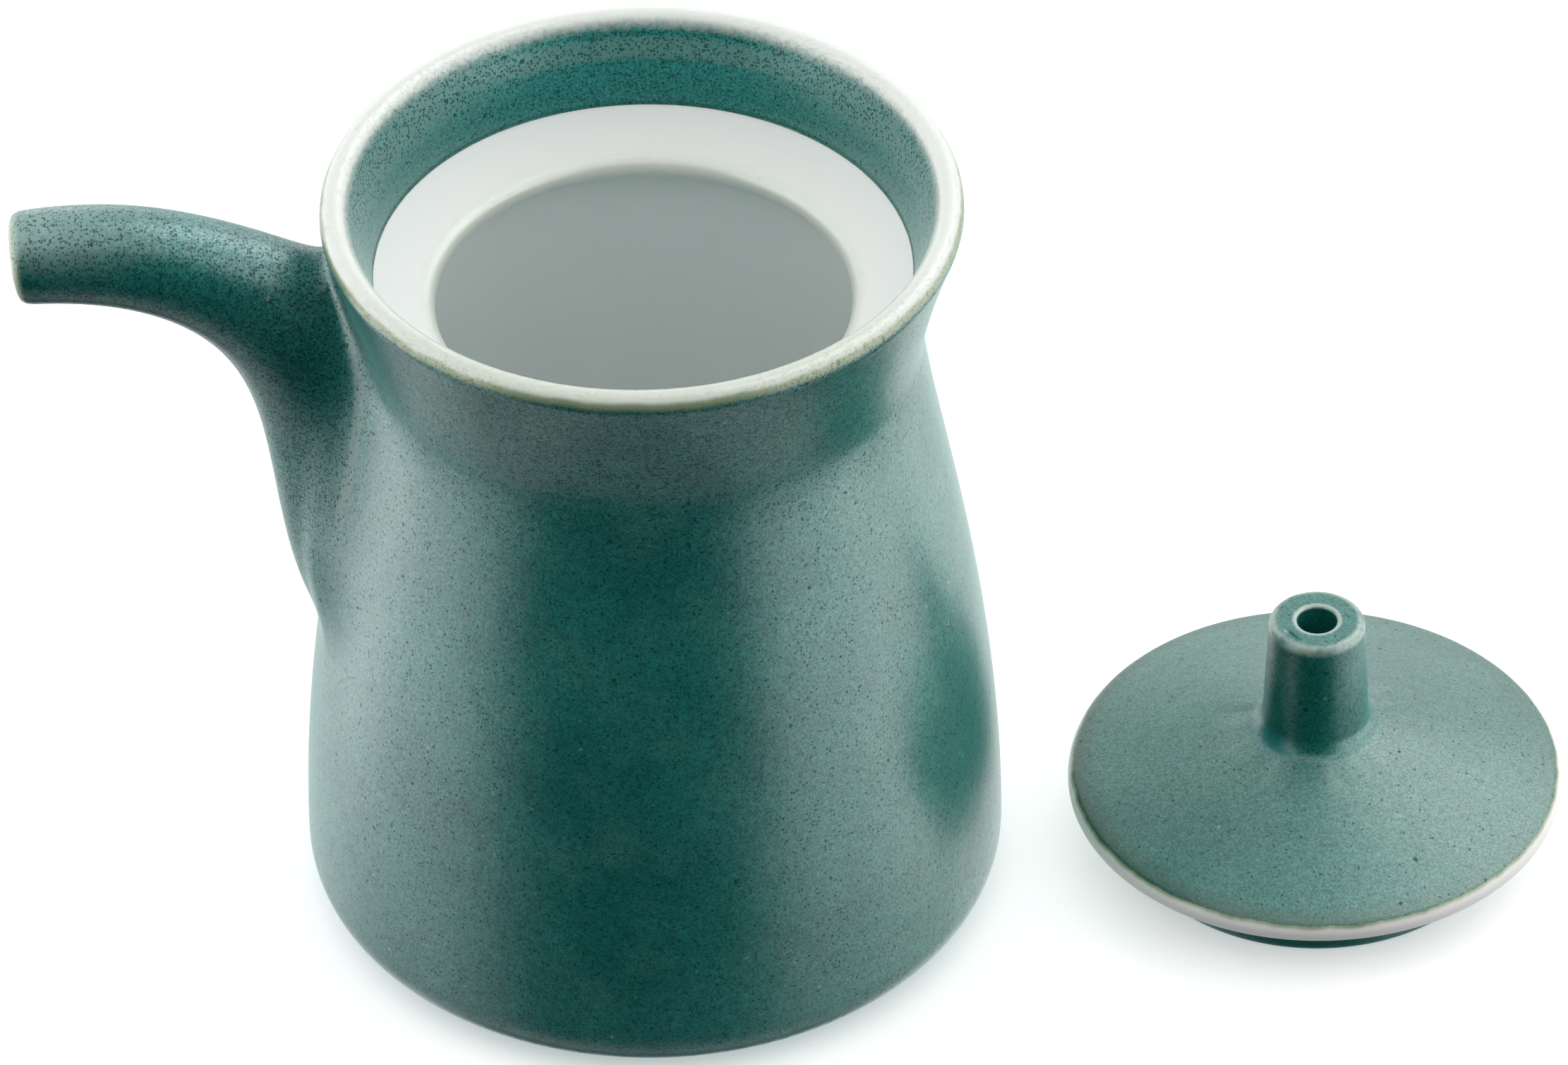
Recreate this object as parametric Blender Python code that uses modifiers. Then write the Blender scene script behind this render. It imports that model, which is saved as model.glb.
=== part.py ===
"""A glazed porcelain soy-sauce pourer: a turned bottle with a spout, and a lid with a hollow knob.

Units are metres and +Z is up.  The origin is the centre of the bottle's flat base, on the table.
The spout points along -X.  The lid lies off the bottle, on the table on the other side of it.
Turned shapes are outlines of (radius, height) pairs that a Screw modifier turns about their axis.
"""
import math

import bmesh
import bpy
from mathutils import Vector

MM = 0.001

# Turned shapes
TURN_STEPS = 48
MERGE_DISTANCE = 0.00001
JOINT_GAP = 0.3 * MM

# Bottle, outside
RIM_RADIUS = 36.0 * MM
RIM_HEIGHT = 96.5 * MM
LIP_RADIUS = 1.6 * MM
FLARE_ANGLE = math.radians(23)
FLARE_LOWER_HANDLE = 3.9 * MM
FLARE_UPPER_HANDLE = 2.9 * MM
NECK_RADIUS = 31.45 * MM
NECK_HEIGHT = 77.0 * MM
SHOULDER_UPPER_HANDLE = 10.5 * MM
SHOULDER_LOWER_HANDLE = 33.5 * MM
BELLY_RADIUS = 40.0 * MM
BELLY_HEIGHT = 6.5 * MM
BASE_RADIUS = 31.8 * MM
CORNER_ROUNDNESS = 0.64

# Bottle, inside
WALL = 3.2 * MM
SEAT_OUTER_RADIUS = 30.4 * MM
SEAT_OUTER_HEIGHT = 85.9 * MM
SEAT_SLOPE = math.radians(25.8)
WELL_HANDLE = 3.5 * MM
MOUTH_RADIUS = 23.4 * MM
MOUTH_NOSE_RADIUS = 1.3 * MM
LEDGE_UNDERSIDE_ANGLE = math.radians(40)
LEDGE_HANDLE = 3.0 * MM

# Spout: two rails in the bottle's middle plane, and an oval section between them
SPOUT_ROOT_TOP = Vector((-23.0 * MM, 0, 48.0 * MM))
SPOUT_ROOT_HANDLES = (20.0 * MM, 14.0 * MM)
SPOUT_UPPER_START = Vector((-28.3 * MM, 0, 84.6 * MM))
SPOUT_UPPER_ANGLE = math.radians(27.3)
SPOUT_UPPER_TIP_ANGLE = math.radians(-9.4)
SPOUT_UPPER_HANDLES = (22.8 * MM, 13.65 * MM)
SPOUT_LOWER_START = Vector((-39.4 * MM, 0, 42.8 * MM))
SPOUT_LOWER_ANGLE = math.radians(70.6)
SPOUT_LOWER_TIP_ANGLE = math.radians(-3.8)
SPOUT_LOWER_HANDLES = (18.0 * MM, 32.3 * MM)
SPOUT_TIP = Vector((-70.3 * MM, 0, 89.8 * MM))
SPOUT_TIP_RADIUS = 5.25 * MM
SPOUT_TIP_ANGLE = (SPOUT_UPPER_TIP_ANGLE + SPOUT_LOWER_TIP_ANGLE) / 2
SPOUT_ROOT_HALF_WIDTH = 9.35 * MM
SPOUT_TAPER = 1.16
SPOUT_WALL = 2.0 * MM
SPOUT_LEAD = 15.0 * MM
SPOUT_SECTIONS = 24
SPOUT_SIDES = 32
RAIL_STEPS = 60
BORE_OVERRUN = 2.0 * MM
OUTLET_RADIUS = 5.0 * MM
OUTLET_HEIGHT = 57.0 * MM
OUTLET_START = -45.0 * MM
OUTLET_END = -28.0 * MM

# Lid, measured up from the foot of its flange
LID_POSITION = Vector((76.3 * MM, 1.9 * MM, 0))
LID_RADIUS = 28.5 * MM
LID_EDGE_TOP = 9.2 * MM
LID_EDGE_BOTTOM = 7.1 * MM
LID_EDGE_ROUND = 0.8 * MM
FLANGE_RADIUS = 22.1 * MM
FLANGE_INNER_RADIUS = 19.6 * MM
FLANGE_ROUND = 0.6 * MM
BEVEL_INNER_RADIUS = 23.0 * MM
LID_THICKNESS = 3.4 * MM
KNOB_LAND_HEIGHT = 16.0 * MM
KNOB_LAND_RADIUS = 6.9 * MM
KNOB_BASE_RADIUS = 6.2 * MM
KNOB_TOP_RADIUS = 5.5 * MM
KNOB_TOP = 31.1 * MM
KNOB_ROUND = 0.9 * MM
AIR_HOLE_RADIUS = 2.3 * MM

# Colours: linear red, green, blue
TEAL_GLAZE = (0.060, 0.190, 0.175, 1.0)
TEAL_GLAZE_SPECKLED = (0.050, 0.170, 0.155, 1.0)
TEAL_GLAZE_LID = (0.095, 0.240, 0.220, 1.0)
TEAL_GLAZE_KNOB = (0.045, 0.150, 0.140, 1.0)
GLAZE_ROUGHNESS = 0.42


def bezier(start, start_control, end_control, end, count):
    """Points along a cubic curve, leaving out its start."""
    points = []
    for step in range(1, count + 1):
        t = step / count
        u = 1 - t
        points.append(
            start * u**3
            + start_control * 3 * u * u * t
            + end_control * 3 * u * t * t
            + end * t**3
        )
    return points


def arc(centre, radius, start_angle, end_angle, count):
    """Points along an arc, with both ends."""
    points = []
    for step in range(count + 1):
        angle = start_angle + (end_angle - start_angle) * step / count
        points.append(centre + radius * Vector((math.cos(angle), math.sin(angle))))
    return points


def offset_outline(outline, distance):
    """Moves an outline sideways, to the right of its direction of travel when distance is negative."""
    moved = []
    for index, point in enumerate(outline):
        before = outline[max(index - 1, 0)]
        after = outline[min(index + 1, len(outline) - 1)]
        along = (after - before).normalized()
        moved.append(point + distance * Vector((-along.y, along.x)))
    return moved


def lip_centre():
    return Vector((RIM_RADIUS - LIP_RADIUS, RIM_HEIGHT - LIP_RADIUS))


def flare_outline(count):
    """The outside from under the lip down to the neck."""
    top = lip_centre() + LIP_RADIUS * Vector((math.cos(FLARE_ANGLE), -math.sin(FLARE_ANGLE)))
    down = Vector((-math.sin(FLARE_ANGLE), -math.cos(FLARE_ANGLE)))
    neck = Vector((NECK_RADIUS, NECK_HEIGHT))
    above_neck = neck + Vector((0, FLARE_LOWER_HANDLE))
    return [top] + bezier(top, top + down * FLARE_UPPER_HANDLE, above_neck, neck, count)


def shoulder_outline(count):
    """The outside from the neck down to the belly, the widest place."""
    neck = Vector((NECK_RADIUS, NECK_HEIGHT))
    belly = Vector((BELLY_RADIUS, BELLY_HEIGHT))
    below_neck = neck - Vector((0, SHOULDER_UPPER_HANDLE))
    above_belly = belly + Vector((0, SHOULDER_LOWER_HANDLE))
    return [neck] + bezier(neck, below_neck, above_belly, belly, count)


def corner_outline(count):
    """The rounded corner from the belly down and in to the edge of the flat base."""
    belly = Vector((BELLY_RADIUS, BELLY_HEIGHT))
    base = Vector((BASE_RADIUS, 0))
    below_belly = Vector((BELLY_RADIUS, BELLY_HEIGHT * (1 - CORNER_ROUNDNESS)))
    beside_base = Vector((BASE_RADIUS + (BELLY_RADIUS - BASE_RADIUS) * CORNER_ROUNDNESS, 0))
    return [belly] + bezier(belly, below_belly, beside_base, base, count)


def outside_outline():
    """The outside from under the lip down to the edge of the base."""
    return flare_outline(6) + shoulder_outline(11)[1:] + corner_outline(6)[1:]


def cavity_outline():
    """The hollow from the middle of the floor up the wall to the ledge that carries the lid."""
    outside = shoulder_outline(8) + corner_outline(5)[1:]
    wall = offset_outline(outside, -WALL)
    wall.reverse()
    nose = Vector((MOUTH_RADIUS + MOUTH_NOSE_RADIUS, mouth_nose_height()))
    under_angle = math.pi + LEDGE_UNDERSIDE_ANGLE
    top_angle = math.pi / 2 + SEAT_SLOPE
    nose_arc = arc(nose, MOUTH_NOSE_RADIUS, under_angle, top_angle, 5)
    outward_down = Vector((math.sin(LEDGE_UNDERSIDE_ANGLE), -math.cos(LEDGE_UNDERSIDE_ANGLE)))
    above_wall = wall[-1] + Vector((0, LEDGE_HANDLE))
    under_nose = nose_arc[0] + outward_down * LEDGE_HANDLE
    underside = bezier(wall[-1], above_wall, under_nose, nose_arc[0], 4)
    floor_centre = Vector((0, wall[0].y))
    return [floor_centre] + wall + underside + nose_arc[1:]


def mouth_nose_height():
    """Height of the centre of the mouth's rounded edge, which is tangent to the seat's cone."""
    nose_centre_radius = MOUTH_RADIUS + MOUTH_NOSE_RADIUS
    run = SEAT_OUTER_RADIUS - nose_centre_radius
    return SEAT_OUTER_HEIGHT - run * math.tan(SEAT_SLOPE) - MOUTH_NOSE_RADIUS / math.cos(SEAT_SLOPE)


def well_outline():
    """The inside of the flared rim, from the seat's outer edge up to the lip."""
    start = Vector((SEAT_OUTER_RADIUS, SEAT_OUTER_HEIGHT))
    lip_inner = lip_centre() - LIP_RADIUS * Vector((math.cos(FLARE_ANGLE), -math.sin(FLARE_ANGLE)))
    up = Vector((math.sin(FLARE_ANGLE), math.cos(FLARE_ANGLE)))
    above_seat = start + Vector((0, WELL_HANDLE))
    return [start] + bezier(start, above_seat, lip_inner - up * WELL_HANDLE, lip_inner, 5)


def turned(name, outline, centre):
    """A solid of revolution about a vertical axis through centre."""
    mesh = bpy.data.meshes.new(name)
    points = [(point.x, 0, point.y) for point in outline]
    edges = [(index, index + 1) for index in range(len(points) - 1)]
    if outline[0].x > MERGE_DISTANCE:
        edges.append((len(points) - 1, 0))
    mesh.from_pydata(points, edges, [])
    piece = bpy.data.objects.new(name, mesh)
    piece.location = centre
    screw = piece.modifiers.new("Turn", "SCREW")
    screw.steps = TURN_STEPS
    screw.render_steps = TURN_STEPS
    screw.use_merge_vertices = True
    screw.merge_threshold = MERGE_DISTANCE
    screw.use_smooth_shade = True
    return piece


def leftward(angle):
    """The direction at this angle above -X in the middle plane."""
    return Vector((-math.cos(angle), 0, math.sin(angle)))


def evenly(path, count):
    """Points that divide a path into this many equal stretches."""
    lengths = [0]
    for start, end in zip(path, path[1:]):
        lengths.append(lengths[-1] + (end - start).length)
    points = []
    index = 0
    for step in range(count + 1):
        place = lengths[-1] * step / count
        while index < len(path) - 2 and lengths[index + 1] < place:
            index += 1
        share = (place - lengths[index]) / (lengths[index + 1] - lengths[index])
        points.append(path[index].lerp(path[index + 1], share))
    return points


def spout_rail(start, end, angle, tip_angle, handles):
    """One edge of the spout in the middle plane, from the bottle's wall to the tip."""
    first_handle = start + leftward(angle) * handles[0]
    second_handle = end - leftward(tip_angle) * handles[1]
    return [start] + bezier(start, first_handle, second_handle, end, RAIL_STEPS)


def spout_sections(inset, overrun):
    """Centre, half-height vector and half-width of each of the spout's oval sections."""
    tip_up = Vector((math.sin(SPOUT_TIP_ANGLE), 0, math.cos(SPOUT_TIP_ANGLE))) * SPOUT_TIP_RADIUS
    root = [SPOUT_ROOT_TOP] + bezier(
        SPOUT_ROOT_TOP,
        SPOUT_ROOT_TOP + Vector((0, 0, SPOUT_ROOT_HANDLES[0])),
        SPOUT_UPPER_START - leftward(SPOUT_UPPER_ANGLE) * SPOUT_ROOT_HANDLES[1],
        SPOUT_UPPER_START,
        RAIL_STEPS,
    )
    upper = spout_rail(
        SPOUT_UPPER_START,
        SPOUT_TIP + tip_up,
        SPOUT_UPPER_ANGLE,
        SPOUT_UPPER_TIP_ANGLE,
        SPOUT_UPPER_HANDLES,
    )
    lower = spout_rail(
        SPOUT_LOWER_START,
        SPOUT_TIP - tip_up,
        SPOUT_LOWER_ANGLE,
        SPOUT_LOWER_TIP_ANGLE,
        SPOUT_LOWER_HANDLES,
    )
    tops = evenly(root + upper[1:], SPOUT_SECTIONS)
    bottoms = evenly(lower, SPOUT_SECTIONS)
    sections = []
    for index, (top, bottom) in enumerate(zip(tops, bottoms)):
        t = index / SPOUT_SECTIONS
        spread = (SPOUT_ROOT_HALF_WIDTH - SPOUT_TIP_RADIUS) * (1 - t) ** SPOUT_TAPER
        half_height = (top - bottom) / 2
        half_height -= half_height.normalized() * inset
        sections.append(((top + bottom) / 2, half_height, SPOUT_TIP_RADIUS + spread - inset))
    centre, half_height, half_width = sections[0]
    rootward = Vector((half_height.z, 0, -half_height.x)).normalized()
    sections.insert(0, (centre + rootward * SPOUT_LEAD, half_height, half_width))
    if overrun:
        centre, half_height, half_width = sections[-1]
        sections.append((centre + leftward(SPOUT_TIP_ANGLE) * overrun, half_height, half_width))
    return sections


def loft(name, sections):
    """A closed solid through oval sections."""
    shape = bmesh.new()
    rings = []
    for centre, half_height, half_width in sections:
        ring = []
        for side in range(SPOUT_SIDES):
            angle = 2 * math.pi * side / SPOUT_SIDES
            sideways = Vector((0, half_width * math.sin(angle), 0))
            ring.append(shape.verts.new(centre + half_height * math.cos(angle) + sideways))
        rings.append(ring)
    for ring, following in zip(rings, rings[1:]):
        for side in range(SPOUT_SIDES):
            after = (side + 1) % SPOUT_SIDES
            shape.faces.new((ring[side], ring[after], following[after], following[side]))
    shape.faces.new(rings[0])
    shape.faces.new(rings[-1])
    bmesh.ops.recalc_face_normals(shape, faces=shape.faces)
    mesh = bpy.data.meshes.new(name)
    shape.to_mesh(mesh)
    shape.free()
    mesh.shade_smooth()
    return bpy.data.objects.new(name, mesh)


def outlet_cutter():
    """The round hole through the bottle's wall into the root of the spout."""
    length = OUTLET_END - OUTLET_START
    bpy.ops.mesh.primitive_cylinder_add(
        vertices=SPOUT_SIDES,
        radius=OUTLET_RADIUS,
        depth=length,
        location=((OUTLET_START + OUTLET_END) / 2, 0, OUTLET_HEIGHT),
        rotation=(0, math.pi / 2, 0),
    )
    cutter = bpy.context.object
    cutter.name = "outlet_cutter"
    for collection in list(cutter.users_collection):
        collection.objects.unlink(cutter)
    return cutter


def root_cutter():
    """The bottle's outside with the joint gap added, which shapes the spout's root."""
    outline = offset_outline(outside_outline(), JOINT_GAP)
    top = Vector((0, RIM_HEIGHT))
    top_edge = Vector((outline[0].x, RIM_HEIGHT))
    base = Vector((0, -JOINT_GAP))
    return turned("root_cutter", [top, top_edge] + outline + [base], (0, 0, 0))


def cut(piece, cutter, cutters):
    """Takes the cutter's shape out of the piece."""
    if cutter.name not in cutters.objects:
        cutters.objects.link(cutter)
    cutter.hide_render = True
    cutter.display_type = "WIRE"
    difference = piece.modifiers.new("Cut by " + cutter.name, "BOOLEAN")
    difference.operation = "DIFFERENCE"
    difference.solver = "EXACT"
    difference.object = cutter


def glaze(name, colour):
    """A satin coloured glaze."""
    material = bpy.data.materials.new(name)
    material.use_nodes = True
    shader = material.node_tree.nodes["Principled BSDF"]
    shader.inputs["Base Color"].default_value = colour
    shader.inputs["Roughness"].default_value = GLAZE_ROUGHNESS
    shader.inputs["Metallic"].default_value = 0.0
    return material


def bottle_body():
    """The turned bottle: its outside, its hollow, the conical seat and the flared rim."""
    lip = arc(lip_centre(), LIP_RADIUS, math.pi - FLARE_ANGLE, -FLARE_ANGLE, 7)
    outside = outside_outline()
    outline = cavity_outline() + well_outline() + lip[1:-1] + outside + [Vector((0, 0))]
    body = turned("bottle_body", outline, (0, 0, 0))
    body.data.materials.append(glaze("teal_glaze_body", TEAL_GLAZE))
    return body


def spout():
    """The hollow horn-shaped spout, whose root fits the bottle's wall."""
    horn = loft("spout", spout_sections(inset=0, overrun=0))
    horn.data.materials.append(glaze("teal_glaze_spout", TEAL_GLAZE_SPECKLED))
    return horn


def lid_disc():
    """The lid: a shallow cone with a bevel that sits in the seat and a flange that keeps it centred."""
    bevel_rise = (LID_RADIUS - BEVEL_INNER_RADIUS) * math.tan(SEAT_SLOPE)
    bevel_foot = LID_EDGE_BOTTOM - bevel_rise
    top_slope = math.atan2(
        KNOB_LAND_HEIGHT - LID_EDGE_TOP, LID_RADIUS - LID_EDGE_ROUND - KNOB_LAND_RADIUS
    )
    edge_centre = Vector((LID_RADIUS - LID_EDGE_ROUND, LID_EDGE_TOP - LID_EDGE_ROUND))
    edge = arc(edge_centre, LID_EDGE_ROUND, math.pi / 2 - top_slope, 0, 3)
    underside_drop = LID_THICKNESS / math.cos(top_slope)
    land_underside = KNOB_LAND_HEIGHT - LID_THICKNESS
    roof_edge = KNOB_LAND_HEIGHT - (FLANGE_INNER_RADIUS - KNOB_LAND_RADIUS) * math.tan(top_slope)
    outline = [
        Vector((AIR_HOLE_RADIUS, land_underside)),
        Vector((AIR_HOLE_RADIUS, KNOB_LAND_HEIGHT)),
        Vector((KNOB_LAND_RADIUS, KNOB_LAND_HEIGHT)),
        *edge,
        Vector((LID_RADIUS, LID_EDGE_BOTTOM)),
        Vector((BEVEL_INNER_RADIUS, bevel_foot)),
        Vector((FLANGE_RADIUS, bevel_foot)),
        Vector((FLANGE_RADIUS, FLANGE_ROUND)),
        Vector((FLANGE_RADIUS - FLANGE_ROUND, 0)),
        Vector((FLANGE_INNER_RADIUS + FLANGE_ROUND, 0)),
        Vector((FLANGE_INNER_RADIUS, FLANGE_ROUND)),
        Vector((FLANGE_INNER_RADIUS, roof_edge - underside_drop)),
        Vector((KNOB_LAND_RADIUS, land_underside)),
    ]
    lid = turned("lid_disc", outline, LID_POSITION)
    lid.data.materials.append(glaze("teal_glaze_lid", TEAL_GLAZE_LID))
    return lid


def lid_knob():
    """The tapered hollow knob, whose hole lets air in while the sauce is poured."""
    foot = KNOB_LAND_HEIGHT + JOINT_GAP
    shoulder_centre = Vector((KNOB_TOP_RADIUS - KNOB_ROUND, KNOB_TOP - KNOB_ROUND))
    shoulder = arc(shoulder_centre, KNOB_ROUND, math.pi / 2, 0, 3)
    outline = [
        Vector((AIR_HOLE_RADIUS, foot)),
        Vector((AIR_HOLE_RADIUS, KNOB_TOP)),
        *shoulder,
        Vector((KNOB_BASE_RADIUS, foot)),
    ]
    knob = turned("lid_knob", outline, LID_POSITION)
    knob.data.materials.append(glaze("teal_glaze_knob", TEAL_GLAZE_KNOB))
    return knob


def clear_scene():
    for old in list(bpy.data.objects):
        bpy.data.objects.remove(old, do_unlink=True)


def build():
    clear_scene()
    parts = bpy.data.collections.new("soy_sauce_pourer")
    cutters = bpy.data.collections.new("cutters")
    bpy.context.scene.collection.children.link(parts)
    bpy.context.scene.collection.children.link(cutters)
    body = bottle_body()
    horn = spout()
    for piece in (body, horn, lid_disc(), lid_knob()):
        parts.objects.link(piece)
    cut(body, outlet_cutter(), cutters)
    cut(horn, root_cutter(), cutters)
    cut(horn, loft("bore_cutter", spout_sections(SPOUT_WALL, BORE_OVERRUN)), cutters)


build()
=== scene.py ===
"""The looks of a glazed porcelain soy-sauce pourer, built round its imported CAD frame.

The bottle and its spout are one seamless skin over a smooth-blended field, and the lid with its knob is
one turned skin.  Shapes are worked out in millimetres and become metres when their mesh is made.
Outlines in the (radius, height) plane are arrays of complex numbers, radius + 1j * height.
"""
import math

import bpy
import numpy as np
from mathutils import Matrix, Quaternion, Vector


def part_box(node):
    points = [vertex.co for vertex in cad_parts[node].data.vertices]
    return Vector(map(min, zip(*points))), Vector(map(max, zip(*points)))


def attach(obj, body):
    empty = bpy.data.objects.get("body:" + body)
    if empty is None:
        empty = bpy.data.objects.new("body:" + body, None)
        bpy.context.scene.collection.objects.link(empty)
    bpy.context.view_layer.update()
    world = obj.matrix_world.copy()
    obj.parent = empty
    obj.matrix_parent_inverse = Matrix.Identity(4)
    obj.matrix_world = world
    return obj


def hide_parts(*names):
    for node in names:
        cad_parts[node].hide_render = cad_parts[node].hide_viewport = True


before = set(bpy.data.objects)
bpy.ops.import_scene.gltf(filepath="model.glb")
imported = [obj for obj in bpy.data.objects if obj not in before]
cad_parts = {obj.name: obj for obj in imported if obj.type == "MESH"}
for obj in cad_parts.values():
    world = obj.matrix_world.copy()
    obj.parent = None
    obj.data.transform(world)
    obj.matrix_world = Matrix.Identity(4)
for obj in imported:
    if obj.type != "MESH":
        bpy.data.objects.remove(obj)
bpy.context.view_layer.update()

MM = 0.001

# Sizes taken from the frame
BOTTLE_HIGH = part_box("bottle_body")[1] / MM
LID_LOW, LID_HIGH = (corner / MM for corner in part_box("lid_disc"))
KNOB_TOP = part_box("lid_knob")[1].z / MM
RIM_HEIGHT = BOTTLE_HIGH.z
BELLY_RADIUS = BOTTLE_HIGH.x
LID_RADIUS = (LID_HIGH.x - LID_LOW.x) / 2
LID_CENTRE = ((LID_HIGH + LID_LOW) / 2).to_2d()

# Bottle, outside
RIM_RADIUS = 36.0
LIP_RADIUS = 1.6
FLARE_ANGLE = math.radians(23)
FLARE_LOWER_HANDLE = 3.9
FLARE_UPPER_HANDLE = 2.9
NECK = 31.45 + 77.0j
SHOULDER_UPPER_HANDLE = 10.5
SHOULDER_LOWER_HANDLE = 33.5
BELLY = BELLY_RADIUS + 6.5j
BASE_RADIUS = 31.8
CORNER_ROUNDNESS = 0.64
LIP_CENTRE = RIM_RADIUS - LIP_RADIUS + 1j * (RIM_HEIGHT - LIP_RADIUS)

# Bottle, inside
WALL = 3.2
SEAT_EDGE = 30.4 + 85.9j
SEAT_SLOPE = math.radians(25.8)
SEAT_FILLET = 0.8
WELL_HANDLE = 3.5
MOUTH_RADIUS = 23.4
NOSE_RADIUS = 1.3
LEDGE_ANGLE = math.radians(40)
LEDGE_HANDLE = 3.0
HOLLOW_ABOVE_LIP = 12.0

# Spout: two rails in the middle plane as (x, z), and an oval section between them
UPPER_ROOT = -23.0 + 48.0j
UPPER_ROOT_HANDLES = (20.0, 14.0)
UPPER_START = -28.3 + 84.6j
UPPER_ANGLE = math.radians(27.3)
UPPER_TIP_ANGLE = math.radians(-9.4)
UPPER_HANDLES = (22.8, 13.65)
LOWER_START = -39.4 + 42.8j
LOWER_ANGLE = math.radians(70.6)
LOWER_TIP_ANGLE = math.radians(-3.8)
LOWER_HANDLES = (18.0, 32.3)
TIP = -70.3 + 89.8j
TIP_RADIUS = 5.25
TIP_ANGLE = (UPPER_TIP_ANGLE + LOWER_TIP_ANGLE) / 2
ROOT_HALF_WIDTH = 9.35
TAPER = 1.16
SPOUT_WALL = 2.0
ROOT_DEPTH = 12.0
SPOUT_INNER_END = -18.0
TIP_ROUNDING = 2.4
OUTLET_RADIUS = 5.0
OUTLET_HEIGHT = 57.0
OUTLET_END = -28.0
OUTLET_OVERRUN = 0.6
CUT_ROUNDING = 1.0
MIDDLE_FILLET = 1.5
SIDE_FILLET = 12.0
RIM_FILLET = 7.0
SIDE_FADE = (2.5, 8.0)
FOOT_FADE = (30.0, 54.0)
RIM_FADE = (72.0, 88.0)

# Field tables and skin
TABLE_STEP = 0.2
TABLE_RADII = np.arange(0, 48, TABLE_STEP)
TABLE_HEIGHTS = np.arange(-6, 104, TABLE_STEP)
SECTION_COUNT = 160
SKIN_STEP = 0.8
FINE_SKIN_STEP = 0.5
FINE_SKIN_ABOVE = 74.0
SKIN_GRID_START = (-75.0, -42.0, -2.0)
SKIN_GRID_SIDE = 42.0
SKIN_GRID_TOP = RIM_HEIGHT + 3
RELAX_ROUNDS = 4
RELAX_SHARE = 0.6
LONGEST_PULL = 0.3
LEAST_SLOPE = 0.5
FAR = 1000.0

# What the glaze goes by: how deep inside the spout's horn the well's skin ends, how far off the wall the
# lip's bands start to fade and how fast, where the spout fades in, and how near counts as in the passage
WELL_END_DEPTH = 1.0
FADE_START = 0.3
FADE_RATE = 4
SPOUT_SHARE_FADE = (-2.0, 6.0)
PASSAGE_NEARNESS = 0.4

# Camera: where it aims, how far away it is and how it is turned, its lens and sensor, and how many metres
# it sees
CAMERA_AIM = Vector((15.33, 0, 47.45))
CAMERA_DISTANCE = 1604.9
CAMERA_ELEVATION = math.radians(39.82)
CAMERA_TURN = math.radians(-0.712)
CAMERA_ROLL = math.radians(-0.8365)
CAMERA_LENS = 324.05
CAMERA_SENSOR = 36
CAMERA_CLIP_END = 50


# ---------------------------------------------------------------- outlines

def bezier(start, first, second, end, count):
    t = np.linspace(0, 1, count + 1)
    u = 1 - t
    return start * u**3 + 3 * first * t * u * u + 3 * second * t * t * u + end * t**3


def arc(centre, radius, start, end, count):
    return centre + radius * np.exp(1j * np.linspace(start, end, count + 1))


def joined(*stretches):
    """One outline from several, without the points that repeat where they meet."""
    path = np.concatenate([np.atleast_1d(stretch) for stretch in stretches]).astype(complex)
    return path[np.append(True, np.abs(np.diff(path)) > 1e-6)]


def evenly(path, count):
    """The same path as count equal stretches."""
    length = np.append(0, np.cumsum(np.abs(np.diff(path))))
    marks = np.linspace(0, length[-1], count + 1)
    return np.interp(marks, length, path.real) + 1j * np.interp(marks, length, path.imag)


def place_of(outline, point):
    """How far along an outline its nearest corner to this point lies."""
    travelled = np.append(0, np.cumsum(np.abs(np.diff(outline))))
    return travelled[np.argmin(np.abs(outline - point))]


def leftward(angle):
    """The direction at this angle above -X."""
    return -np.exp(-1j * angle)


def rail(start, end, angle, tip_angle, handles):
    """One edge of the spout, from its root to its tip."""
    first, second = start + leftward(angle) * handles[0], end - leftward(tip_angle) * handles[1]
    return bezier(start, first, second, end, SECTION_COUNT)


def rounded(before, corner, after, radius, count):
    """An arc that rounds the corner between two straight stretches."""
    arriving = (corner - before) / abs(corner - before)
    leaving = (after - corner) / abs(after - corner)
    turn = np.angle(leaving / arriving)
    side = 1j * np.sign(turn)
    start = corner - arriving * radius * math.tan(abs(turn) / 2)
    centre = start + side * arriving * radius
    first = np.angle(-side * arriving)
    return arc(centre, radius, first, first + turn, count)


def outside_outline():
    """The outside from the middle of the rim's plane over the lip and down to the middle of the base."""
    lip = arc(LIP_CENTRE, LIP_RADIUS, math.pi / 2, -FLARE_ANGLE, count=12)
    down = -1j * np.exp(-1j * FLARE_ANGLE)
    flare = bezier(
        lip[-1], lip[-1] + down * FLARE_UPPER_HANDLE, NECK + 1j * FLARE_LOWER_HANDLE, NECK, count=16
    )
    return joined(1j * RIM_HEIGHT, lip, flare, shoulder_outline(), corner_outline(), 0)


def shoulder_outline():
    """The outside from the neck down to the belly, the widest place."""
    above_belly = BELLY + 1j * SHOULDER_LOWER_HANDLE
    return bezier(NECK, NECK - 1j * SHOULDER_UPPER_HANDLE, above_belly, BELLY, count=50)


def corner_outline():
    """The rounded corner from the belly down and in to the edge of the base."""
    below_belly = BELLY.real + 1j * BELLY.imag * (1 - CORNER_ROUNDNESS)
    beside_base = BASE_RADIUS + (BELLY.real - BASE_RADIUS) * CORNER_ROUNDNESS
    return bezier(BELLY, below_belly, beside_base, BASE_RADIUS, count=14)


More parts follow.
